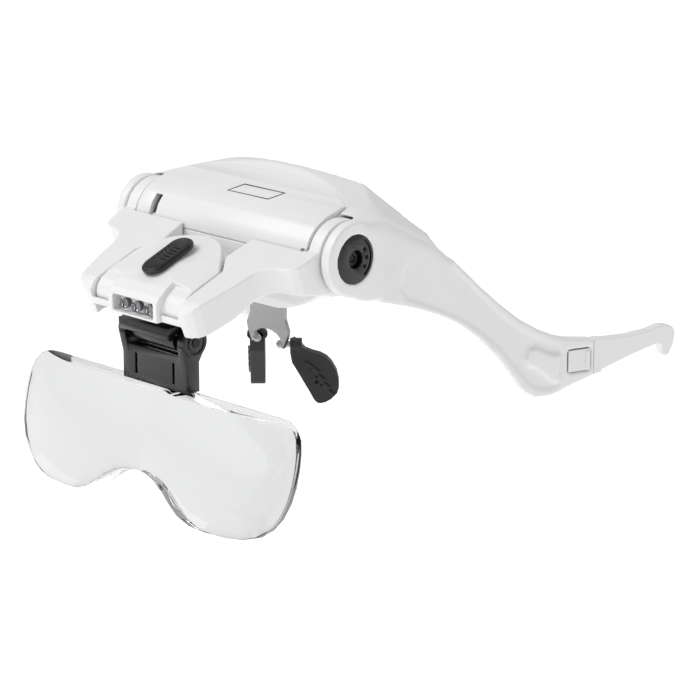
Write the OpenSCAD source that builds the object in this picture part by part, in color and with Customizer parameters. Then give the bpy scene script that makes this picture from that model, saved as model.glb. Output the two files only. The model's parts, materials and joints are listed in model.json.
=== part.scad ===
// Head visor magnifier: a head frame worn like glasses, with a drum-shaped
// forehead housing, a flip-up visor frame turning on two side hubs, a tilting
// lamp with three LEDs, and a clear lens on a swinging black holder.
//
// Millimetres, +Z up, front faces -Y, +X is the wearer's left.
// Origin: the middle of the forehead plate, where the forehead rests.

/* [Overall] */
// hub axis behind the forehead rest
hub_y = -19; // [-20:0.5:-18]
// hub axis below the forehead rest
hub_z = -8; // [-10:0.5:-6]
// slope of the visor frame top, degrees
slope = 21.1; // [20:0.1:22]
// splay of each side wing, degrees
splay = 20; // [18:0.5:22]
// splay of each ear leg, degrees
leg_splay = 9; // [8:0.5:10]

/* [Housing] */
// radius of the drum
drum_r = 11.2; // [11:0.1:11.4]
// half length of the drum
drum_x = 36; // [35.8:0.1:36.1]
// outside of the wing hub
hub_x = 45.4; // [45.2:0.1:46]
// radius of the wing hub
hub_r = 11; // [10.5:0.1:11.5]
// radius of the wearer's forehead
head_r = 88; // [84:1:95]
// wall of the housing
wall = 1.9; // [1.6:0.1:2.2]
// roof curve across the head
roof_r = 128; // [120:1:140]
// slope of the way the battery cover pulls off, degrees
pull = 33; // [33:1:40]
// underside curve of the chin
chin_r = 64; // [60:1:70]
// distance of the sloped shoulders from the hub axis
shoulder_d = 32.3; // [32:0.1:33]

/* [Visor frame] */
// radius of the rings around the hubs
ring_r = 10.9; // [10:0.1:11]
// inner and outer face of each ring
ring_in = 36.6; // [36.4:0.1:37]
ring_out = 41; // [40.5:0.1:41.2]
// hub sleeve outside radius
sleeve_r = 3.5; // [3.2:0.1:3.6]

/* [Lamp] */
// tilt axis of the lamp, from the hub axis
lamp_y = -38.3; // [-38.6:0.1:-38]
lamp_z = -13; // [-13.4:0.1:-12.6]
// radius of the two barrels on the tilt axis
barrel_r = 4.6; // [4.2:0.1:4.8]
// radius of the crown of the lamp roof
crown_r = 70; // [60:1:90]
// distance between the LEDs
led_step = 5.2; // [5:0.1:5.4]

/* [Lens] */
// how far the lens leans back, degrees
lens_tilt = -14; // [-16:0.5:-12]
// radius of the two convex fronts
lens_r = 100; // [95:1:120]
// swing axis of the lens holder, from the hub axis
hinge_y = -33.7; // [-34:0.1:-33.4]
hinge_z = -23.9; // [-24.2:0.1:-23.6]

/* [Hidden] */
$fn = 96;
white = [0.93, 0.93, 0.94];
black = [0.07, 0.07, 0.08];
metal = [0.66, 0.67, 0.69];
clear = [0.80, 0.92, 0.96, 0.5];
led_x = [-led_step, 0, led_step];
// round cells: radius, length, and Y, Z of each
cell_r = 5.2;
cell_len = 44.5;
cells = [[-1.3, -0.8], [9.6, 5.3], [9.6, -6.2]];

// ---- placing -------------------------------------------------------------
module hub() translate([0, hub_y, hub_z]) children();
module sloped() rotate([slope, 0, 0]) children();
module both() { children(); mirror([1, 0, 0]) children(); }
module lens_at() translate([0, -32, -39.4]) rotate([lens_tilt, 0, 0]) children();
// wing frame of the left side: X along the wing, Y inwards, Z up
module wing_at() translate([hub_x, 12, 0]) rotate([0, 0, 90 - splay]) children();
module leg_at() translate([69.7, 78.8, -39.7]) rotate([0, 0, 90 - leg_splay]) children();

// ---- shapes --------------------------------------------------------------
// outline in Y and Z, run along X from x0 to x1
module yz(x0, x1) translate([x0, 0, 0]) rotate([90, 0, 90])
  linear_extrude(height = x1 - x0) children();
// outline in X and Z, run along Y from y0 to y1
module xz(y0, y1) translate([0, y1, 0]) rotate([90, 0, 0])
  linear_extrude(height = y1 - y0) children();
// outline in X and Y, run along Z from z0 to z1
module xy(z0, z1) translate([0, 0, z0]) linear_extrude(height = z1 - z0) children();
module rod_x(r, x0, x1, y = 0, z = 0) translate([x0, y, z]) rotate([0, 90, 0])
  cylinder(r = r, h = x1 - x0);
module box(x0, x1, y0, y1, z0, z1) translate([x0, y0, z0])
  cube([x1 - x0, y1 - y0, z1 - z0]);
// plate with four rounded corners
module slab(x0, x1, y0, y1, z0, z1, r) {
  box(x0 + r, x1 - r, y0, y1, z0, z1);
  box(x0, x1, y0 + r, y1 - r, z0, z1);
  for (x = [x0 + r, x1 - r]) for (y = [y0 + r, y1 - r])
    translate([x, y, z0]) cylinder(r = r, h = z1 - z0);
}

// ---- housing -------------------------------------------------------------
module roof_profile() polygon([[-11.2, -2], [-11.2, 0.5], [-10.9, 3], [-9.6, 6],
  [-7, 8.9], [-3, 11.1], [2, 12.5], [7, 14.1], [12, 16.0], [17, 18.0],
  [19, 18.4], [34, 18.4], [34, -13], [0, -13], [-2, -10.9]]);
module roof_inside() polygon([[-9.2, -2], [-9.2, 0.5], [-9.0, 2.6], [-7.8, 5.0],
  [-5.6, 7.2], [-2.2, 9.1], [2.6, 10.5], [7.7, 12.1], [12.7, 14.0], [17.4, 15.9],
  [34, 16.0], [34, -11], [1, -11], [-2, -9]]);
module chin_profile() polygon([[-4, -6], [-3.8, -13], [-2.4, -17], [0.5, -20.6],
  [4, -22], [12, -22], [16, -20.4], [18.4, -17], [19.4, -13], [19.4, -6]]);
module chin_inside() polygon([[-2, -6], [-1.9, -13], [-0.6, -16], [1.8, -18.9],
  [4.4, -20], [11.6, -20], [14.8, -18.8], [16.7, -16], [17.4, -13], [17.4, -6]]);
// side blocks that the wings are fixed to
module side_profile() polygon([[1.2, -12.6], [1.2, 11.2], [8, 12.8], [14, 14], [34, 16],
  [34, -13], [6, -13]]);
module roof_curve(d) translate([0, -20, 18.2 - d - roof_r]) rotate([-90, 0, 0])
  cylinder(r = roof_r, h = 70);
module chin_curve(d) translate([0, -20, -22 + d + chin_r]) rotate([-90, 0, 0])
  cylinder(r = chin_r, h = 70);
module head(r) translate([0, 19 + head_r, -40]) cylinder(r = r, h = 80);
// everything above the sloped shoulder between roof and wing, d inside its skin
module shoulder_over(d) rotate([0, 0, 36.5]) rotate([0, 34.2, 0])
  translate([-60, -60, shoulder_d - d]) cube([120, 120, 60]);
module ring_slots() both() {
  rod_x(11.6, 36.2, 42);
  box(36.2, 42, -14, 1.2, -14, 12);
}
module housing_solid() {
  difference() {
    union() {
      intersection() {
        union() {
          rod_x(drum_r, -drum_x, drum_x);
          yz(-drum_x, drum_x) roof_profile();
          box(-drum_x, drum_x, 1.2, 34, -13, 18.4);
          yz(-41.6, 41.6) side_profile();
        }
        roof_curve(0);
      }
      intersection() { yz(-33, 33) chin_profile(); chin_curve(0); }
    }
    both() shoulder_over(0);
    ring_slots();
  }
}
// the part of the roof skin that comes off: an outline at the height of the
// rear edge, run down and forward along the way the cover pulls off
module cover_plan(g) polygon([[-35.9 - g, -40], [35.9 + g, -40], [35.9 + g, 9.7 + g],
  [34 + g, 10.2 + g], [30, 10.8 + g], [25, 11.6 + g], [18, 12.1 + g], [0, 12.5 + g],
  [-18, 12.1 + g], [-25, 11.6 + g], [-30, 10.8 + g], [-34 - g, 10.2 + g],
  [-35.9 - g, 9.7 + g]]);
module cover_way(g) translate([0, 0, 16])
  multmatrix([[1, 0, 0, 0], [0, 1, 1 / tan(pull), 0], [0, 0, 1, 0]])
    xy(-15 - g, 14) cover_plan(g);
module front_housing() color(white) hub() {
  difference() {
    housing_solid();
    // inside room
    difference() {
      intersection() {
        union() { rod_x(drum_r - wall, -34, 34); yz(-34, 34) roof_inside(); }
        roof_curve(wall);
      }
      both() shoulder_over(wall);
    }
    intersection() { yz(-30, 30) chin_inside(); chin_curve(wall); }
    // rear opening behind the forehead plate
    head(head_r + 2.05);
    // room for the battery cover
    cover_way(0.3);
    // sleeve holes in the end walls
    both() rod_x(sleeve_r, 33, 36.5);
    // slot for the nose plate
    box(-7.35, 7.35, 8.4, 9.6, -23, -19);
    // screw holes up into the chin
    both() translate([5, 3, -16]) rotate([-90, 0, 0]) cylinder(r = 0.9, h = 10);
  }
  // end walls carry the sleeves behind the cover
  both() difference() {
    intersection() { rod_x(drum_r - wall - 0.35, 32, 34.05); box(30, 36, -9, 20, -9.3, 8.5); }
    rod_x(sleeve_r, 31, 36.5);
    cover_way(0.3);
  }
  // posts for the case screws
  both() for (z = [-8, 9]) difference() {
    union() {
      translate([28, 13.5, z]) rotate([-90, 0, 0]) cylinder(r = 2.2, h = 7.8);
      box(28, 34.1, 14.5, 20.9, z - 0.8, z + 0.8);
    }
    translate([28, 12, z]) rotate([-90, 0, 0]) cylinder(r = 0.8, h = 12);
  }
  // nose plate clamp block inside the chin
  difference() {
    box(-9, 9, 5.5, 12.5, -20.1, -15);
    box(-7.35, 7.35, 8.4, 9.6, -23, -15.95);
    both() translate([5, 3, -17.5]) rotate([-90, 0, 0]) cylinder(r = 0.9, h = 8);
  }
}
module forehead_plate() color(white) hub() difference() {
  intersection() {
    union() {
      box(-drum_x, drum_x, 12, 34, -12.9, 18);
      yz(-41.6, 41.6) side_profile();
      intersection() { yz(-32, 32) chin_profile(); chin_curve(0); }
    }
    roof_curve(0.1);
    head(head_r + 2);
  }
  head(head_r);
  both() shoulder_over(0.1);
  for (x = [-28, 28]) for (z = [-8, 9]) translate([x, 10, z]) rotate([-90, 0, 0])
    cylinder(r = 1.0, h = 30);
}
module case_screws() color(metal) hub()
  for (x = [-28, 28]) for (z = [-8, 9]) translate([x, 0, z]) rotate([-90, 0, 0])
    translate([0, 0, 107 - sqrt(pow(head_r, 2) - 784) - 3.2]) {
      cylinder(r = 1.0, h = 3.0);
      translate([0, 0, -4]) cylinder(r = 0.8, h = 4.5);
    }

// ---- wings ---------------------------------------------------------------
module wing_outline() polygon([[-2.6, 9.4], [1.5, 9.2], [4.6, 8.8], [8, 7.4], [11.1, 5.3],
  [16.6, 0.6], [24.2, -6.8], [30.9, -13.6], [37.6, -19.8], [44.4, -25.4],
  [51.3, -29.6], [56.4, -31.9], [59.9, -33.0], [65, -33.7], [71.0, -34.6],
  [72.0, -38], [71.8, -42], [70.2, -46.0], [64.0, -47.6], [60.2, -48.9],
  [57.5, -50.1], [53.4, -50.6], [50.0, -50.3], [47.6, -48.9], [45.6, -47.2],
  [41.3, -41.2], [37.9, -36.7], [31.1, -29.7], [24.4, -24.5], [17.8, -21.1],
  [11.2, -18.5], [4.7, -16.5], [-2.6, -14.7]]);
module panel_outline() polygon([[4.6, -11.4], [6, -6], [8.4, -0.6], [11.1, 0.7],
  [14.8, 0.1], [17.6, -1.8], [27.6, -12.3], [37.7, -22.6], [44.5, -28.2],
  [51.3, -32.1], [58.0, -35.0], [59.6, -37.8], [58.6, -47.4], [55.5, -48.6],
  [51.7, -48.3], [48.2, -46.3], [43.0, -40.1], [37.9, -33.9], [31.1, -27.8],
  [24.4, -23.1], [17.8, -19.6], [7.3, -15.2]]);
module pad_outline() polygon([[46.6, -38], [47.9, -35.2], [50, -34.9], [54.9, -37.6],
  [58.2, -37.9], [57.8, -46.3], [55.8, -46.0], [53.0, -43.6], [49.8, -41.0], [47, -39.8]]);
module wing_plate(y0, y1) wing_at() xz(y0, y1) wing_outline();
module wing_left() color(white) hub() difference() {
  union() {
    // hub boss and the flat side between the hub and the wing
    rod_x(hub_r, 41.7, hub_x);
    intersection() {
      yz(41.7, hub_x) polygon([[0, 0], [-6.5, -8.5], [1.9, -12.6], [6, -13.6], [12.3, -13.8],
        [12.3, 12], [4, 12], [0, 11]]);
      roof_curve(0);
    }
    difference() { wing_plate(0, 3.2); box(20, 41.7, 0, 40, -60, 30); shoulder_over(0); }
    // flange that closes the shoulder against the housing
    difference() {
      intersection() {
        box(41.7, 60, 12.2, 40, -9, 12);
        wing_at() box(-12, 17.5, 0, 20, -40, 40);
        shoulder_over(3);
      }
      shoulder_over(0);
      head(head_r + 0.3);
    }
    wing_at() difference() {
      box(57.5, 71.2, 0, 4.4, -47, -34.8);
      box(56, 73, -1, 6, -60, -45.9);
    }
    // raised pad near the low corner
    wing_at() xz(-0.55, 0.5) pad_outline();
  }
  // inset panel
  wing_at() difference() { xz(-0.1, 0.45) panel_outline(); xz(-1, 1) pad_outline(); }
  // recess for the hub cap, bore for the sleeve
  rod_x(7.2, 43.3, 50);
  rod_x(sleeve_r, 40, 44);
  // room for the leg tongue and the catch window
  wing_at() { box(58.6, 80, 1.15, 3.2, -44.4, -36.8); box(61.0, 69.0, -1, 2, -44.2, -37.0); }
  // end face of the wing against the leg
  wing_at() difference() { box(70.0, 80, -2, 8, -60, -20); }
}
module wing_right() mirror([1, 0, 0]) wing_left();
module hub_cap_left() color(black) hub() difference() {
  rod_x(7.2, 43.3, 45.2);
  rod_x(2.7, 43, 46);
  for (a = [-35, 0, 35]) rotate([a, 0, 0]) translate([44.5, 4.4, 0]) rotate([0, 90, 0])
    cylinder(r = 0.55, h = 2);
  // rear groove
  intersection() {
    difference() { rod_x(6.4, 44.6, 46); rod_x(5.8, 44, 47); }
    yz(44, 47) polygon([[0, 0], [6, 9], [12, 9], [12, -9], [6, -9]]);
  }
}
module hub_cap_right() mirror([1, 0, 0]) hub_cap_left();
module hub_screws() color(black) hub() both() difference() {
  union() { rod_x(2.6, 43.3, 44.0); rod_x(1.5, 34.2, 43.4); }
  // key hole of six points
  for (a = [0, 60]) translate([43.5, 0, 0]) rotate([a, 0, 0]) rotate([0, 90, 0])
    cylinder(r = 1.45, h = 2, $fn = 3);
}
module hub_sleeves() color(metal) hub() both() difference() {
  rod_x(sleeve_r, 32.2, 43.3);
  rod_x(1.5, 30, 45);
}

// ---- batteries -----------------------------------------------------------
module battery_tray() color(black) hub() difference() {
  union() {
    both() yz(23.6, 25.4) polygon([[-8.0, -4], [-8.2, 1.9], [-5, 3.9], [0, 7.1], [6, 9.6],
      [13, 11.4], [15.6, 9], [15.6, -10], [13, -12.4], [6, -12.4], [0, -8.6], [-5, -7.4]]);
    // rib between the rear cells, floor under the lower ones
    box(-24, 24, 5.0, 15.4, -0.8, -0.1);
    yz(-24, 24) polygon([[-5.4, -7.3], [-5, -6.2], [2.6, -7.0], [5.0, -10.8], [13, -10.8],
      [13, -12.4], [4.4, -12.4], [1.9, -8.6]]);
  }
  for (c = cells) rod_x(cell_r + 0.15, -cell_len / 2 - 1.2, cell_len / 2 + 1.2, c[0], c[1]);
}
module battery_cells() color([0.25, 0.45, 0.30]) hub() for (i = [0, 1, 2]) {
  // the middle cell faces the other way
  end = cell_len / 2;
  translate([0, cells[i][0], cells[i][1]]) mirror([i == 1 ? 1 : 0, 0, 0]) {
    rod_x(cell_r, -end, end - 0.9);
    rod_x(1.9, end - 1, end);
  }
}
module battery_contacts() color(metal) hub() for (i = [0, 1, 2]) {
  s = (i == 1) ? -1 : 1;
  // flat plate at the button end, cone spring at the other
  translate([s * 22.9, cells[i][0], cells[i][1]]) rotate([0, 90, 0])
    translate([-3.5, -3.5, -0.6]) cube([7, 7, 1.2]);
  for (k = [0 : 3]) translate([-s * (22.35 + 0.3 * k), cells[i][0], cells[i][1]])
    rotate([0, 90, 0]) rotate_extrude() translate([2 + 0.5 * k, 0]) circle(r = 0.3, $fn = 24);
}

// ---- nose ----------------------------------------------------------------
module plate_outline() polygon([[-7.3, -16], [7.3, -16], [7.3, -26.8], [8.8, -30.4],
  [8.4, -32.2], [6.6, -36.0], [4.6, -35.2], [5.7, -33.2], [4.2, -31.9], [2.2, -31.2],
  [0, -31.0], [-2.2, -31.2], [-4.2, -31.9], [-5.7, -33.2], [-4.6, -35.2],
  [-6.6, -36.0], [-8.4, -32.2], [-8.8, -30.4], [-7.3, -26.8]]);
module nose_plate() color(metal) hub() difference() {
  union() {
    xz(8.4, 9.6) plate_outline();
    // stems carried back to the pads
    both() translate([5.0, 9.0, -34.9]) rotate([0, 0, 45]) {
      rotate([0, 90, 0]) cylinder(r = 0.9, h = 5.3);
      sphere(r = 1.25);
    }
  }
  both() translate([5, 0, -17.5]) rotate([-90, 0, 0]) cylinder(r = 0.9, h = 20);
}
module nose_plate_screws() color(metal) hub() both() translate([5, 0, -17.5]) {
  translate([0, 4.1, 0]) rotate([-90, 0, 0]) cylinder(r = 1.7, h = 1.4);
  translate([0, 5.0, 0]) rotate([-90, 0, 0]) cylinder(r = 0.9, h = 6.0);
}
// pad frame: X along the pad face, Y through it, Z up
module pad_at() translate([11.3, 15.3, -43.8]) rotate([0, 0, 45]) children();
module nose_pad_left() color(black) hub() pad_at() difference() {
  union() {
    xz(-1.3, 1.3) polygon([[-6.0, 6.8], [-5.9, 9.9], [-4.8, 10.8], [-3.0, 9.4], [-1.4, 7.6],
      [1, 6.6], [3.0, 6.1], [5, 5.0], [6.6, 3.3], [8.0, 0.7], [8.6, -2.0], [8.6, -4.2],
      [8.0, -6.0], [6.2, -7.8], [4.6, -8.7], [3.0, -9.1], [1.9, -8.8], [1.0, -7.7],
      [-0.2, -5.4], [-1.7, -2.8], [-3.6, 0.6], [-5.4, 3.6]]);
    rod_x(1.8, -6.0, -2.4, 0, 8.9);
    for (k = [0 : 3]) translate([0.8 + 1.5 * k, -1.3, 2.4 - 2.4 * k]) rotate([0, 38, 0])
      translate([-2.6, -0.4, -0.35]) cube([5.2, 0.6, 0.7]);
  }
  // blind socket for the stem
  rod_x(0.97, -7, -3.3, 0, 8.9);
  translate([1.9, -2, -2.3]) rotate([-90, 0, 0]) cylinder(r = 0.5, h = 4);
}
module nose_pad_right() mirror([1, 0, 0]) nose_pad_left();

// ---- battery cover -------------------------------------------------------
module battery_cover() color(white) hub() difference() {
  intersection() {
    difference() {
      intersection() {
        union() { rod_x(drum_r, -35.9, 35.9); yz(-35.9, 35.9) roof_profile(); }
        roof_curve(0);
      }
      intersection() {
        union() { rod_x(drum_r - 1.7, -40, 40); yz(-40, 40) roof_inside(); }
        roof_curve(1.7);
      }
    }
    cover_way(0);
  }
  // finger recesses
  box(-30.3, -27.5, -12, -4.5, 1.8, 8.3);
  box(33.9, 35.6, -12, -8.5, 1.2, 3.4);
}

// ---- visor frame ---------------------------------------------------------
frame_half = [[18, -46.4], [21, -46.1], [23.6, -45], [25.2, -43], [26.2, -40], [27.2, -36.2],
  [28.4, -30.5], [28.8, -27.4], [29.2, -24.7], [30.1, -22.8], [31.6, -21.2], [33.7, -19.9],
  [36.3, -19.5], [38.6, -19], [40.3, -17.4], [41, -14.6], [41, -8]];
module frame_plan() both() polygon(concat([[-1, -8], [-1, -46.4]], frame_half));
// the opening the lamp sits in
module frame_hole() polygon([[-14.6, -4], [-14.6, -9.5], [-13.6, -20], [-18.5, -26.4],
  [-18.5, -50], [18.5, -50], [18.5, -26.4], [13.6, -20], [14.6, -9.5], [14.6, -4]]);
// room inside each arm, open below
module arm_pocket() polygon([[17, -14], [35.8, -14], [35.8, -17.2], [32.6, -18], [29.8, -20.2],
  [27.9, -22.8], [27.2, -25.2], [26.8, -29.6], [25.4, -36], [24.0, -40.0], [22.6, -42.4],
  [20.4, -42.8], [20.4, -26], [16, -20.6]]);
module frame_outer() sloped() xy(-30, 12) frame_plan();
module visor_frame() color(white) hub() difference() {
  union() {
    difference() {
      intersection() {
        sloped() xy(-7, 6.8) frame_plan();
        // underside rises towards the hubs, top falls to the rings
        yz(-45, 45) polygon([[-47, -20.5], [-43, -20.4], [-39, -18.6], [-31, -15.0],
          [-25, -11.2], [-18.5, -8.6], [-12.5, -9.2], [-8, -10], [0, -10], [0, 1.5],
          [-11, 3.6], [-41, -8.2], [-43.6, -10.2], [-44.6, -12.4], [-45.0, -15]]);
      }
      sloped() xy(-30, 12) frame_hole();
    }
    both() {
      rod_x(ring_r, ring_in, ring_out);
      // lips wrapping the lamp front, and the sides above the floor
      intersection() {
        union() {
          box(10.75, 26, -44.8, -43.1, -20.5, -14.4);
          box(18.5, 20.4, -44.8, -29.5, -18.9, -12);
          box(18.5, 26, -44.8, -42, -20.5, -12);
        }
        frame_outer();
      }
    }
    box(-20, 20, -36.2, -29.5, -18.9, -17.9);
  }
  // the drum and its room
  rod_x(11.7, -36.5, 36.5);
  both() {
    rod_x(60, 41, 50);
    rod_x(sleeve_r + 0.05, 35, 42);
    sloped() xy(-30, 4.9) arm_pocket();
    rod_x(1.2, 18, 22.5, lamp_y, lamp_z);
    translate([6, -32, -20]) cylinder(r = 0.95, h = 4);
  }
}
module hub_washers() color(black) hub() both() difference() {
  rod_x(6.4, 41.0, 41.5);
  rod_x(sleeve_r + 0.05, 40, 42);
}
module lens_bracket() color(black) hub() difference() {
  union() {
    box(-10.4, 10.4, -41.2, -36.3, -20.9, -19.3);
    box(-10.4, 10.4, -37.4, -30.2, -22.0, -18.95);
    box(-8.5, 8.5, -37.2, -30.2, -24.5, -20.8);
    rod_x(3.7, -8.5, 8.5, hinge_y, hinge_z);
    rod_x(1.7, -10.2, 10.2, -39.6, -21.4);
  }
  rod_x(1.25, -12, 12, hinge_y, hinge_z);
  both() translate([6, -32, -21.5]) cylinder(r = 0.9, h = 4);
}
module bracket_pin() color(metal) hub() {
  rod_x(1.25, -14.4, 14.4, hinge_y, hinge_z);
}
module lamp_pins() color(metal) hub() both() rod_x(1.2, 15.2, 22.4, lamp_y, lamp_z);
module bracket_screws() color(metal) hub() both() translate([6, -32, 0]) {
  translate([0, 0, -17.9]) cylinder(r = 1.7, h = 1.0);
  translate([0, 0, -21.4]) cylinder(r = 0.9, h = 3.6);
}

// ---- lamp ----------------------------------------------------------------
module lamp_plan(g) polygon([[-18.1 + g, -37.9], [-18.0 + g, -27.2], [-13.2 + g, -20.9 - g],
  [-10.6, -18.1 - g], [-7.5, -15.8 - g], [-3.8, -14.2 - g], [0, -13.6 - g], [3.8, -14.2 - g],
  [7.5, -15.8 - g], [10.6, -18.1 - g], [13.2 - g, -20.9 - g], [18.0 - g, -27.2], [18.1 - g, -37.9]]);
module lamp_side(d) polygon([[-45.0 + d, -16.8], [-45.1 + d, -11.5], [-44 + d, -9.6 - d],
  [-41, -7.2 - d], [-36, -4.4 - d], [-31, -2.4 - d], [-25, -0.9 - d], [-19, 0.9 - d],
  [-12, 2.6 - d], [-12, -4 + d], [-30, -9.5 + d], [-33.2, -13], [-36, -16.8]]);
// crowned roof of the lamp, d below its skin
module lamp_crown(d) sloped() xz(-60, -8) polygon(concat([[-20, -30]],
  [for (x = [-20 : 4 : 20]) [x, 9.2 - d - crown_r + sqrt(crown_r * crown_r - x * x)]],
  [[20, -30]]));
module lamp_shoulder() polygon([[-34, -5.5], [-38.4, -7.4], [-40.9, -9.0], [-42.4, -10.9],
  [-42.6, -13], [-34, -13]]);
module lamp_shell() color(white) hub() difference() {
  union() {
    intersection() {
      sloped() xy(-2, 12) lamp_plan(0);
      lamp_hump();
      lamp_crown(0);
    }
    intersection() {
      yz(-10.3, 10.3) lamp_side(0);
      sloped() xy(-22, 12) polygon([[-10.3, -50], [10.3, -50], [10.3, -18.0], [7.5, -15.8],
        [3.8, -14.2], [0, -13.6], [-3.8, -14.2], [-7.5, -15.8], [-10.3, -18.0]]);
      lamp_crown(0);
    }
    both() rod_x(barrel_r, 10.2, 18.1, lamp_y, lamp_z);
    both() yz(10.2, 18.1) lamp_shoulder();
  }
  // inside room
  intersection() {
    sloped() xy(-6, 12) lamp_plan(1.6);
    yz(-16.5, 16.5) polygon([[-35, -18], [-35, -6.2], [-31, -4.2], [-25, -2.6], [-19, -0.9],
      [-12, 0.8], [-12, -12], [-30, -18]]);
    lamp_crown(1.8);
  }
  // window of the LEDs
  box(-8.6, 8.6, -46, -41.8, -16.2, -11.4);
  box(-8.6, 8.6, -42, -34, -16.9, -10.5);
  // pin holes in the barrels
  both() rod_x(1.25, 14, 19, lamp_y, lamp_z);
  // slot for the switch stem
  sloped() box(-1.6, 1.6, -33.2, -25.6, 4, 14);
}
module lamp_hump() yz(-20, 20) polygon([[-47, -20], [-47, -9.6], [-41, -7.2], [-36, -4.4],
  [-31, -2.4], [-25, -0.9], [-19, 0.9], [-12, 2.6], [-12, -20]]);
module lamp_base() color(white) hub() difference() {
  sloped() intersection() {
    xy(-1.9, -0.4) lamp_plan(1.8);
    box(-16.2, 16.2, -33.6, -14, -2, 0);
  }
  sloped() both() translate([9, -22.5, -3]) cylinder(r = 0.9, h = 6);
}
module lamp_board() color([0.12, 0.4, 0.2]) hub() sloped() difference() {
  xy(0.6, 1.6) polygon([[-11, -34.2], [11, -34.2], [11, -23.6], [8.4, -20.8], [-8.4, -20.8],
    [-11, -23.6]]);
  both() translate([9, -22.5, -1]) cylinder(r = 0.9, h = 6);
}
module leds() color([0.95, 0.95, 0.98, 0.7]) hub() for (x = led_x)
  translate([x, 0, -13.9]) rotate([90, 0, 0]) {
    translate([0, 0, 40.2]) cylinder(r = 1.9, h = 0.8);
    translate([0, 0, 41]) cylinder(r = 1.5, h = 2.5);
    translate([0, 0, 43.5]) sphere(r = 1.5);
  }
module led_bezel() color(white) hub() difference() {
  box(-8.5, 8.5, -41.8, -39.2, -16.1, -11.5);
  for (x = led_x) translate([x, -39, -13.9]) rotate([90, 0, 0]) {
    translate([0, 0, -1]) cylinder(r = 2.0, h = 3.0);
    cylinder(r = 1.55, h = 4);
  }
}
module switch_body() color([0.2, 0.2, 0.22]) hub() sloped() difference() {
  box(-3.4, 3.4, -33.0, -25.8, 1.65, 4.4);
  box(-1.5, 1.5, -32.4, -26.4, 3.2, 5);
}
module lamp_screws() color(metal) hub() sloped() for (p = [[-9, -22.5], [9, -22.5]])
  translate([p[0], p[1], 0]) {
    translate([0, 0, -3.0]) cylinder(r = 1.6, h = 1.05);
    translate([0, 0, -2.1]) cylinder(r = 0.85, h = 4.6);
  }
module switch_button() color(black) hub() sloped() {
  difference() {
    union() {
      slab(-4, 4, -38.6, -20.2, 9.35, 10.4, 3.98);
      slab(-3.5, 3.5, -38.0, -20.8, 10.3, 10.9, 3.45);
    }
    for (k = [-2 : 2]) box(-2.4, 2.4, -29.6 + k * 1.5, -29.0 + k * 1.5, 10.55, 12);
  }
  box(-1.2, 1.2, -30.4, -28.4, 3.6, 9.5);
}

// ---- lens holder and lens --------------------------------------------------
module lens_holder() color(black) hub() difference() {
  union() {
    both() {
      rod_x(4.4, 11.2, 14.2, hinge_y, hinge_z);
      yz(11.2, 13.6) polygon([[-38.4, -25.0], [-36.9, -31], [-36.9, -38.9], [-31.9, -38.9],
        [-31.9, -30], [-28.9, -25.2], [-29.5, -23.9], [-38.0, -23.9]]);
    }
    box(-11.3, 11.3, -36.9, -35.5, -38.9, -28.4);
    box(-11.3, 11.3, -36.9, -31.9, -38.9, -33.4);
    box(-11.3, 11.3, -33.3, -31.9, -34, -28.4);
  }
  both() {
    rod_x(1.3, 10, 15, hinge_y, hinge_z);
    difference() { rod_x(3.4, 13.8, 15, hinge_y, hinge_z); rod_x(2.6, 13, 16, hinge_y, hinge_z); }
    box(7.5, 8.5, -38, -35.3, -36.8, -30.6);
  }
  // slot for the lens tongue
  box(-9.1, 9.1, -35.7, -33.1, -40, -34.6);
}
module click_spring() color(metal) hub() {
  box(-5, 5, -35.45, -35.15, -33.3, -29.4);
  rod_x(0.6, -5, 5, -34.9, -29.2);
}
module lens_outline() polygon([[0, -25.8], [4, -26.1], [8, -27.2], [12, -29.4], [15.5, -32.2],
  [19.5, -35.0], [24.5, -36.7], [30.5, -37.1], [38, -36.9], [43.5, -36.1], [48, -34.4],
  [52, -31.4], [55, -27.5], [57, -22.5], [57.8, -18], [57.9, -13], [57.5, -8.5],
  [56.4, -4.5], [54.2, -1.7], [51, -0.2], [47, 0], [0, 0]]);
module lens() color(clear) hub() {
  difference() {
    lens_at() both() {
      xz(-2.2, 0) lens_outline();
      intersection() {
        xz(-9, -0.5) lens_outline();
        translate([20, -8.6 + lens_r, -16]) sphere(r = lens_r, $fn = 200);
      }
    }
    box(-70, 70, -50, -20, -39.4, -20);
  }
  // tongue that slides up into the holder
  box(-8.9, 8.9, -35.45, -33.35, -41, -35.2);
}

// ---- ear legs --------------------------------------------------------------
module ear_leg_left() color(white) hub() {
  leg_at() xz(0.2, 3.6) polygon([[0.9, 4.8], [13.1, 3.9], [21.2, 4.1], [26.1, 4.9],
    [29.4, 4.5], [31.2, 3.3], [32, 1.6], [31.3, -1.6], [29.8, -4.5], [28.6, -5.2],
    [27.2, -4.8], [26.5, -1.8], [25.4, -0.8], [23.5, -0.9], [13.3, -2.6], [0.9, -5.4]]);
  wing_at() {
    intersection() {
      box(70.25, 73, 0.4, 4.0, -47, -34);
      xz(-1, 6) polygon([[60, -33.9], [71.0, -34.7], [74, -34.6], [74, -45.4], [70, -45.9], [60, -47]]);
    }
    box(59.2, 71, 1.75, 2.7, -44.1, -42.3);
    box(59.2, 71, 1.75, 2.7, -38.9, -37.1);
    box(68.0, 71, 1.75, 2.7, -44.1, -37.1);
  }
}
module ear_leg_right() mirror([1, 0, 0]) ear_leg_left();
module leg_catch_left() color(white) hub() wing_at() {
  box(61.3, 68.7, 0, 0.8, -43.9, -37.3);
  box(67.2, 68.4, -0.3, 0.1, -43.2, -38);
}
module leg_catch_right() mirror([1, 0, 0]) leg_catch_left();

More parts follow.
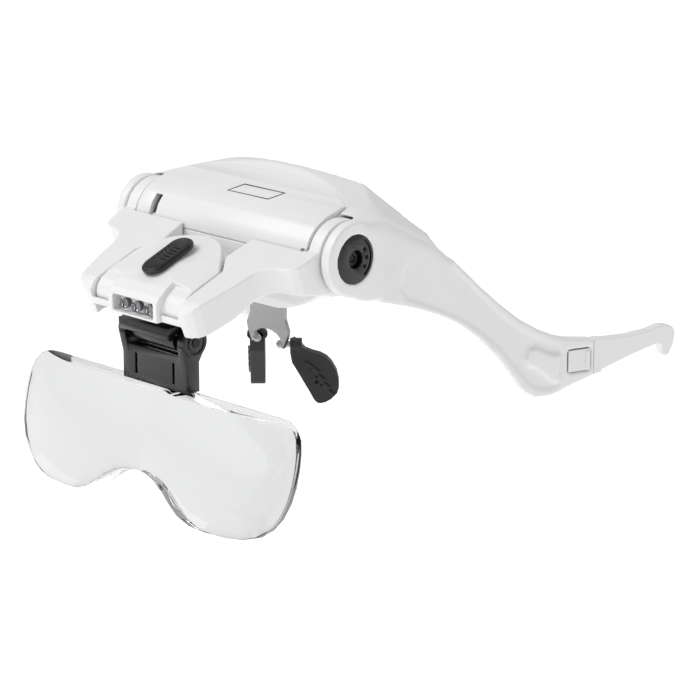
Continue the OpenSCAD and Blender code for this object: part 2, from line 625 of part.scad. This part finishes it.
// ---- build -----------------------------------------------------------------
front_housing();
forehead_plate();
wing_left();
wing_right();
hub_cap_left();
hub_cap_right();
hub_screws();
hub_sleeves();
battery_tray();
battery_cells();
battery_contacts();
nose_plate();
nose_plate_screws();
case_screws();
battery_cover();
visor_frame();
hub_washers();
lens_bracket();
bracket_pin();
lamp_pins();
bracket_screws();
lamp_shell();
lamp_base();
lamp_board();
leds();
led_bezel();
switch_body();
lamp_screws();
switch_button();
lens_holder();
click_spring();
lens();
ear_leg_left();
ear_leg_right();
leg_catch_left();
leg_catch_right();
nose_pad_left();
nose_pad_right();
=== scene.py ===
# %% [markdown]
# # Head visor magnifier
# A jeweller's or model maker's magnifier that is worn like spectacles: a white moulded
# head frame with a battery drum over the brow, a flip-up visor frame with an LED lamp,
# and one wide clear lens hung from a black swinging holder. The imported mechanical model
# is loaded first and never moved: it says where every hinge, hole and wall is, and each
# new piece below is made in its place.

# %% Load the mechanical model
import json
import math

import bmesh
import bpy
from mathutils import Matrix, Vector


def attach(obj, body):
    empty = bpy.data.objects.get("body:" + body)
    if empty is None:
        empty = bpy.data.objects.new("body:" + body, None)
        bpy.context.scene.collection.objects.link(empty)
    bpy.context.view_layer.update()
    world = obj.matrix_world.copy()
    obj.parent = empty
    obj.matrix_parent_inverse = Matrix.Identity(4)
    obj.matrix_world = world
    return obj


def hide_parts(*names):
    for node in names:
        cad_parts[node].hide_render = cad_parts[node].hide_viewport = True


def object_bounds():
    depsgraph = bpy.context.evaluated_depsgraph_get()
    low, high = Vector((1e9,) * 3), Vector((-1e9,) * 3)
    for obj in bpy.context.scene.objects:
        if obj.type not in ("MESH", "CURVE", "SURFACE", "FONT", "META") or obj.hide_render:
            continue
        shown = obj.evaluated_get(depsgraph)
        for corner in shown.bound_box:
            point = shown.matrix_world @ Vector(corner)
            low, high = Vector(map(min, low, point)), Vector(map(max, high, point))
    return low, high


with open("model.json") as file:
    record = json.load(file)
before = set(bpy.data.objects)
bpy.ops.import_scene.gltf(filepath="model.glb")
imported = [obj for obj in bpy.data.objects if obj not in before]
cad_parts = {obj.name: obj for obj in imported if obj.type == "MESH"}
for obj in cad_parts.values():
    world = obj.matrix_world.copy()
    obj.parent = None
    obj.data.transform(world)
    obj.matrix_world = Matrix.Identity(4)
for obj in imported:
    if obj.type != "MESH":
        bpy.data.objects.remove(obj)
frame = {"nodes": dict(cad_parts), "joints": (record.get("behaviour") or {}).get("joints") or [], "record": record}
cad_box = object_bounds()
nodes = frame["nodes"]
axes = {joint["name"]: joint for joint in frame["joints"]}
hub = Vector(axes["visor_flip"]["pos_m"])
scene = bpy.context.scene
print(f"{len(nodes)} nodes, box {[round(v, 4) for v in cad_box[0]]} to {[round(v, 4) for v in cad_box[1]]}")

# %% [markdown]
# ## Camera and studio
# The object is white on white, so the light has to do the drawing. A long lens keeps the
# perspective calm. One big soft box hangs above and to the left of the camera, a weaker
# one fills from the right, and the world is a pale grey dome: faces that look up stay
# close to white, and faces that look sideways fall off to a light grey.

# %% Camera
AIM = Vector((0.0, 0.0249, -0.0530))
AZIMUTH = math.radians(44.33)
ELEVATION = math.radians(16.17)
DISTANCE = 0.9259
towards = Vector((
    math.sin(AZIMUTH) * math.cos(ELEVATION),
    -math.cos(AZIMUTH) * math.cos(ELEVATION),
    math.sin(ELEVATION),
))
camera_data = bpy.data.cameras.new("camera")
camera_data.sensor_width = 36.0
camera_data.lens = 154.3
camera = bpy.data.objects.new("camera", camera_data)
camera.location = AIM + towards * DISTANCE
camera.rotation_euler = (-towards).to_track_quat("-Z", "Y").to_euler()
scene.collection.objects.link(camera)
scene.camera = camera
scene.view_settings.view_transform = "Standard"
print("camera at", [round(v, 4) for v in camera.location])


# %% Floor, lights and world
def soft_box(name, place, size, power):
    """A square area light at place, in metres, that faces the object."""
    data = bpy.data.lights.new(name, "AREA")
    data.shape = "SQUARE"
    data.size = size
    data.energy = power
    light = bpy.data.objects.new(name, data)
    light.location = place
    light.rotation_euler = (Vector(place) - AIM).to_track_quat("Z", "Y").to_euler()
    scene.collection.objects.link(light)
    return light


def new_material(name):
    """A material with an empty node tree, its Principled shader and its output."""
    material = bpy.data.materials.new(name)
    material.use_nodes = True
    shader = material.node_tree.nodes["Principled BSDF"]
    return material, material.node_tree, shader


floor_drop = 0.10
bm = bmesh.new()
bmesh.ops.create_grid(bm, x_segments=1, y_segments=1, size=6.0)
bmesh.ops.translate(bm, verts=bm.verts, vec=(0, 0, cad_box[0].z - floor_drop))
floor_mesh = bpy.data.meshes.new("floor")
bm.to_mesh(floor_mesh)
bm.free()
floor = bpy.data.objects.new("floor", floor_mesh)
scene.collection.objects.link(floor)
floor_paint, _, shader = new_material("floor_paint")
shader.inputs["Base Color"].default_value = (0.90, 0.90, 0.90, 1)
shader.inputs["Roughness"].default_value = 0.9
shader.inputs["Emission Color"].default_value = (1, 1, 1, 1)
shader.inputs["Emission Strength"].default_value = 0.45
floor_mesh.materials.append(floor_paint)

soft_box("key", (-0.55, -0.75, 1.05), 0.9, 12.0)
soft_box("fill", (1.1, -0.35, 0.35), 0.8, 0.7)
soft_box("back", (0.3, 1.2, 0.9), 0.9, 3.4)
world = bpy.data.worlds.new("studio")
world.use_nodes = True
world.node_tree.nodes["Background"].inputs["Color"].default_value = (1, 1, 1, 1)
world.node_tree.nodes["Background"].inputs["Strength"].default_value = 0.46
scene.world = world

# %% [markdown]
# ## Finishes
# Four finishes cover nearly all of it. The shells are white ABS from a mould with a very
# fine spark-eroded grain, so the gloss is broken into a satin sheen. The black parts are
# the same plastic with a tighter, shinier skin. The nose pads are dull rubber, and the
# little plate that carries them is brushed steel. Every pattern is worked out from the
# place on the object, so nothing slides when a part moves.


# %% Pattern helpers
def link(tree, source, target):
    tree.links.new(source, target)


def object_noise(tree, scale, detail=2.0, stretch=(1, 1, 1)):
    """A noise texture that is fixed to the piece, with scale in features per metre."""
    coords = tree.nodes.new("ShaderNodeTexCoord")
    mapping = tree.nodes.new("ShaderNodeMapping")
    mapping.inputs["Scale"].default_value = stretch
    noise = tree.nodes.new("ShaderNodeTexNoise")
    noise.inputs["Scale"].default_value = scale
    noise.inputs["Detail"].default_value = detail
    link(tree, coords.outputs["Object"], mapping.inputs["Vector"])
    link(tree, mapping.outputs["Vector"], noise.inputs["Vector"])
    return noise


def span(tree, source, low, high):
    """Turns a 0 to 1 pattern into numbers from low to high."""
    ramp = tree.nodes.new("ShaderNodeMapRange")
    ramp.inputs["To Min"].default_value = low
    ramp.inputs["To Max"].default_value = high
    link(tree, source, ramp.inputs["Value"])
    return ramp.outputs["Result"]


def grain(tree, shader, source, strength, distance):
    """Uses a pattern as a fine relief, distance metres high."""
    bump = tree.nodes.new("ShaderNodeBump")
    bump.inputs["Strength"].default_value = strength
    bump.inputs["Distance"].default_value = distance
    link(tree, source, bump.inputs["Height"])
    link(tree, bump.outputs["Normal"], shader.inputs["Normal"])


def two_tone(tree, shader, source, dark, light):
    """Blends two close colours by a pattern, for the unevenness of a real finish."""
    mix = tree.nodes.new("ShaderNodeMix")
    mix.data_type = "RGBA"
    mix.inputs[6].default_value = (*dark, 1)
    mix.inputs[7].default_value = (*light, 1)
    link(tree, source, mix.inputs[0])
    link(tree, mix.outputs[2], shader.inputs["Base Color"])


# %% White and black plastic, rubber
def moulded_plastic(name, dark, light, rough, grain_size, relief):
    """Moulded plastic: a fine grain, and a gloss that drifts slightly over the surface."""
    material, tree, shader = new_material(name)
    cloud = object_noise(tree, 60, 3)
    speck = object_noise(tree, 1 / grain_size, 2)
    two_tone(tree, shader, cloud.outputs["Fac"], dark, light)
    link(tree, span(tree, cloud.outputs["Fac"], rough - 0.05, rough + 0.05), shader.inputs["Roughness"])
    grain(tree, shader, speck.outputs["Fac"], relief, 0.00004)
    return material


white_plastic = moulded_plastic("white_plastic", (0.80, 0.80, 0.81), (0.84, 0.84, 0.84), 0.36, 0.0005, 0.35)
black_plastic = moulded_plastic("black_plastic", (0.003, 0.003, 0.0035), (0.006, 0.006, 0.0065), 0.26, 0.0006, 0.4)
black_rubber = moulded_plastic("black_rubber", (0.005, 0.005, 0.0055), (0.010, 0.010, 0.0105), 0.5, 0.0005, 0.7)


# %% Metal, clear parts and the hidden pieces
def brushed_steel(name, shade, rough):
    material, tree, shader = new_material(name)
    streak = object_noise(tree, 900, 2, stretch=(1, 1, 0.06))
    two_tone(tree, shader, streak.outputs["Fac"], [shade * 0.9] * 3, [shade] * 3)
    shader.inputs["Metallic"].default_value = 1.0
    link(tree, span(tree, streak.outputs["Fac"], rough - 0.08, rough + 0.08), shader.inputs["Roughness"])
    grain(tree, shader, streak.outputs["Fac"], 0.3, 0.00003)
    return material


def clear_plastic(name, tint, rough=0.0, ior=1.49):
    material, _, shader = new_material(name)
    shader.inputs["Base Color"].default_value = (*tint, 1)
    shader.inputs["Roughness"].default_value = rough
    shader.inputs["IOR"].default_value = ior
    shader.inputs["Transmission Weight"].default_value = 1.0
    return material


steel = brushed_steel("steel", 0.42, 0.42)
black_oxide = brushed_steel("black_oxide", 0.035, 0.3)
clear_acrylic = clear_plastic("clear_acrylic", (0.66, 0.665, 0.665), ior=1.33)
led_epoxy = clear_plastic("led_epoxy", (0.55, 0.55, 0.57), 0.03)
cell_sleeve = moulded_plastic("cell_sleeve", (0.05, 0.16, 0.08), (0.06, 0.2, 0.1), 0.3, 0.001, 0.1)
circuit_board = moulded_plastic("circuit_board", (0.02, 0.12, 0.05), (0.03, 0.16, 0.06), 0.4, 0.0004, 0.5)

slot_material = {
    "white_shell": white_plastic,
    "black_plastic": black_plastic,
    "black_rubber": black_rubber,
    "steel": steel,
    "cell_sleeve": cell_sleeve,
    "circuit_board": circuit_board,
    "led_clear": led_epoxy,
    "clear_lens": clear_acrylic,
}
for part in frame["record"]["subparts"]:
    node = nodes[part["node"]]
    node.data.materials.clear()
    node.data.materials.append(slot_material[part["material_slot"]])
print(len(slot_material), "finishes on", len(nodes), "nodes")

# %% [markdown]
# ## From hard model to moulded shell
# A moulded shell has no sharp edge anywhere: plastic can't fill a sharp corner, and a
# hand can't bear one. Bevelling each edge of a many-sided model by hand is slow and
# breaks where curved walls meet. Here a sewn copy of the mechanical shape is wrapped in
# an even skin of small squares, and the skin is then relaxed, so every edge and every
# inner corner gets the same soft round, as it does from a mould.


# %% Making and placing pieces
MM = 0.001
to_frame = Matrix.Translation(hub) @ Matrix.Scale(MM, 4)


def new_piece(name, bm, body, slot, material=None, sharp=35):
    """Makes a finished piece of a bmesh that is in the frame's metres."""
    mesh = bpy.data.meshes.new(name)
    bm.to_mesh(mesh)
    bm.free()
    mesh.shade_smooth()
    mesh.set_sharp_from_angle(angle=math.radians(sharp))
    mesh.materials.append(material or slot_material[slot])
    piece = bpy.data.objects.new(name, mesh)
    scene.collection.objects.link(piece)
    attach(piece, body)
    return piece


def sewn_copy(*names):
    """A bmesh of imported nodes, with their loose triangles sewn together."""
    bm = bmesh.new()
    for name in names:
        bm.from_mesh(nodes[name].data)
    bmesh.ops.remove_doubles(bm, verts=bm.verts, dist=1e-6)
    return bm


def soften(bm, cell, passes):
    """Wraps a closed shape in squares of size cell, in metres, and relaxes them."""
    mesh = bpy.data.meshes.new("rough")
    bm.to_mesh(mesh)
    bm.free()
    rough = bpy.data.objects.new("rough", mesh)
    scene.collection.objects.link(rough)
    skin = rough.modifiers.new("skin", "REMESH")
    skin.mode = "VOXEL"
    skin.voxel_size = cell
    relax = rough.modifiers.new("relax", "SMOOTH")
    relax.factor = 0.5
    relax.iterations = passes
    bpy.context.view_layer.update()
    soft = bpy.data.meshes.new_from_object(rough.evaluated_get(bpy.context.evaluated_depsgraph_get()))
    bpy.data.objects.remove(rough)
    bm = bmesh.new()
    bm.from_mesh(soft)
    bpy.data.meshes.remove(soft)
    return bm


def finished(name, bm, body, slot, *stands_for, sharp=35, material=None):
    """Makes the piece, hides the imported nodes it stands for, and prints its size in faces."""
    print(name, len(bm.faces), "faces")
    piece = new_piece(name, bm, body, slot, material, sharp)
    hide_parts(*stands_for)
    return piece


def moulded(node, body, slot, cell=0.45, passes=6):
    """The soft-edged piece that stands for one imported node; cell is in millimetres."""
    bm = soften(sewn_copy(node), cell * MM, passes)
    return finished(node + "_shell", bm, body, slot, node, sharp=180)


# %% Head shell
SHOULDER_OUT = Vector((0.62, -0.1, 0.78))


def on_shoulder(vert):
    """True on the outer skin between the roof's rim and the side of a wing."""
    place = (vert.co - hub) / MM
    side = math.copysign(1, place.x)
    facing = Vector((vert.normal.x * side, vert.normal.y, vert.normal.z)) @ SHOULDER_OUT
    low = 3.5 - 0.55 * (place.y - 4)
    return abs(place.x) > 37.5 and 3 < place.y < 33 and place.z > low and facing > 0.25


bm = soften(sewn_copy("front_housing", "forehead_plate", "wing_left", "wing_right"), 0.52 * MM, 5)
bm.normal_update()
shoulders = [vert for vert in bm.verts if on_shoulder(vert)]
for _ in range(90):
    bmesh.ops.smooth_vert(bm, verts=shoulders, factor=0.5, use_axis_x=True, use_axis_y=True, use_axis_z=True)
finished("head_shell", bm, "head_frame", "white_shell",
         "front_housing", "forehead_plate", "wing_left", "wing_right", sharp=180)

# %% The other white shells
for node, body, cell in (
    ("visor_frame", "visor_frame", 0.35),
    ("lamp_shell", "lamp", 0.25),
    ("lamp_base", "lamp", 0.25),
    ("ear_leg_left", "ear_leg_left", 0.25),
    ("ear_leg_right", "ear_leg_right", 0.25),
):
    moulded(node, body, "white_shell", cell)

# %% [markdown]
# ## Rubber nose pads
# The pads are soft rubber, cast thick and round. A copy of the pad is first fattened
# across its flat face, and the same skin in smaller squares then gives it full edges.

# %% Nose pads
PAD_MIDDLE = Vector((11.3, 15.3, -43.8))
FATTER = 1.75
for side, sign in (("left", 1), ("right", -1)):
    node = f"nose_pad_{side}"
    bm = sewn_copy(node)
    middle = to_frame @ Vector((sign * PAD_MIDDLE.x, PAD_MIDDLE.y, PAD_MIDDLE.z))
    turned = Matrix.Rotation(math.radians(-45 * sign), 4, "Z") @ Matrix.Translation(-middle)
    bmesh.ops.scale(bm, verts=bm.verts, vec=(1, FATTER, 1), space=turned)
    bm = soften(bm, 0.22 * MM, 5)
    finished(node + "_rubber", bm, node, "black_rubber", node, sharp=180)

# %% [markdown]
# ## Crisp parts
# Turned and pressed parts, and the shiny black mouldings, keep flat faces and only lose
# the very edge. A sewn copy has its flat faces joined up, so that only the true corners
# are left as edges, and those corners get a narrow bevel that catches the light. Thin
# feather edges, such as the rear of the battery cover, are left alone.


# %% Eased edges
FEATHER = 120


def eased(node, body, slot, width, material=None, corner=28):
    """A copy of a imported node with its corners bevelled, width in millimetres."""
    bm = sewn_copy(node)
    bmesh.ops.dissolve_limit(
        bm, angle_limit=math.radians(1.0), use_dissolve_boundaries=False,
        verts=bm.verts, edges=bm.edges, delimit=set())
    corners = [edge for edge in bm.edges
               if len(edge.link_faces) == 2
               and math.radians(corner) < edge.calc_face_angle() < math.radians(FEATHER)]
    bmesh.ops.bevel(
        bm, geom=corners, offset=width * MM, offset_type="OFFSET", affect="EDGES",
        segments=2, profile=0.5, material=-1, clamp_overlap=True)
    return finished(node + "_eased", bm, body, slot, node, sharp=40, material=material)


for side in ("left", "right"):
    eased(f"hub_cap_{side}", "head_frame", "black_plastic", 0.12)
eased("hub_screws", "head_frame", "steel", 0.08, black_oxide)
eased("lens_bracket", "visor_frame", "black_plastic", 0.3)
eased("lens_holder", "lens_holder", "black_plastic", 0.3)
eased("switch_button", "switch", "black_plastic", 0.15)
eased("battery_cover", "battery_cover", "white_shell", 0.25)
nodes["bracket_pin"].data.materials[0] = black_oxide
eased("lens", "lens", "clear_lens", 0.35, corner=40)

# %% [markdown]
# ## Badge
# The cover carries a small printed badge. A plain slanted frame stands in for it: a flat
# face is leaned over, inset, and the inset is taken out, and what is left is given a
# hair's thickness.

# %% Badge
bm = bmesh.new()
bmesh.ops.create_grid(bm, x_segments=1, y_segments=1, size=1.0)
bmesh.ops.scale(bm, verts=bm.verts, vec=(8.6, 2.6, 1))
for vert in bm.verts:
    vert.co.x += 0.45 * vert.co.y
inner = bmesh.ops.inset_region(bm, faces=bm.faces[:], thickness=0.5, depth=0, use_boundary=True)
bmesh.ops.delete(bm, geom=[face for face in bm.faces if face not in inner["faces"]], context="FACES")
rim = bmesh.ops.extrude_face_region(bm, geom=bm.faces[:])
bmesh.ops.translate(bm, verts=[v for v in rim["geom"] if isinstance(v, bmesh.types.BMVert)], vec=(0, 0, 0.12))
bmesh.ops.recalc_face_normals(bm, faces=bm.faces)
ROOF_SLOPE = math.radians(17)
bmesh.ops.rotate(bm, verts=bm.verts, cent=(0, 0, 0), matrix=Matrix.Rotation(ROOF_SLOPE, 3, "X"))
bmesh.ops.translate(bm, verts=bm.verts, vec=(2.5, 2.0, 12.5))
bmesh.ops.transform(bm, verts=bm.verts, matrix=to_frame)
new_piece("cover_badge", bm, "battery_cover", "black_plastic")
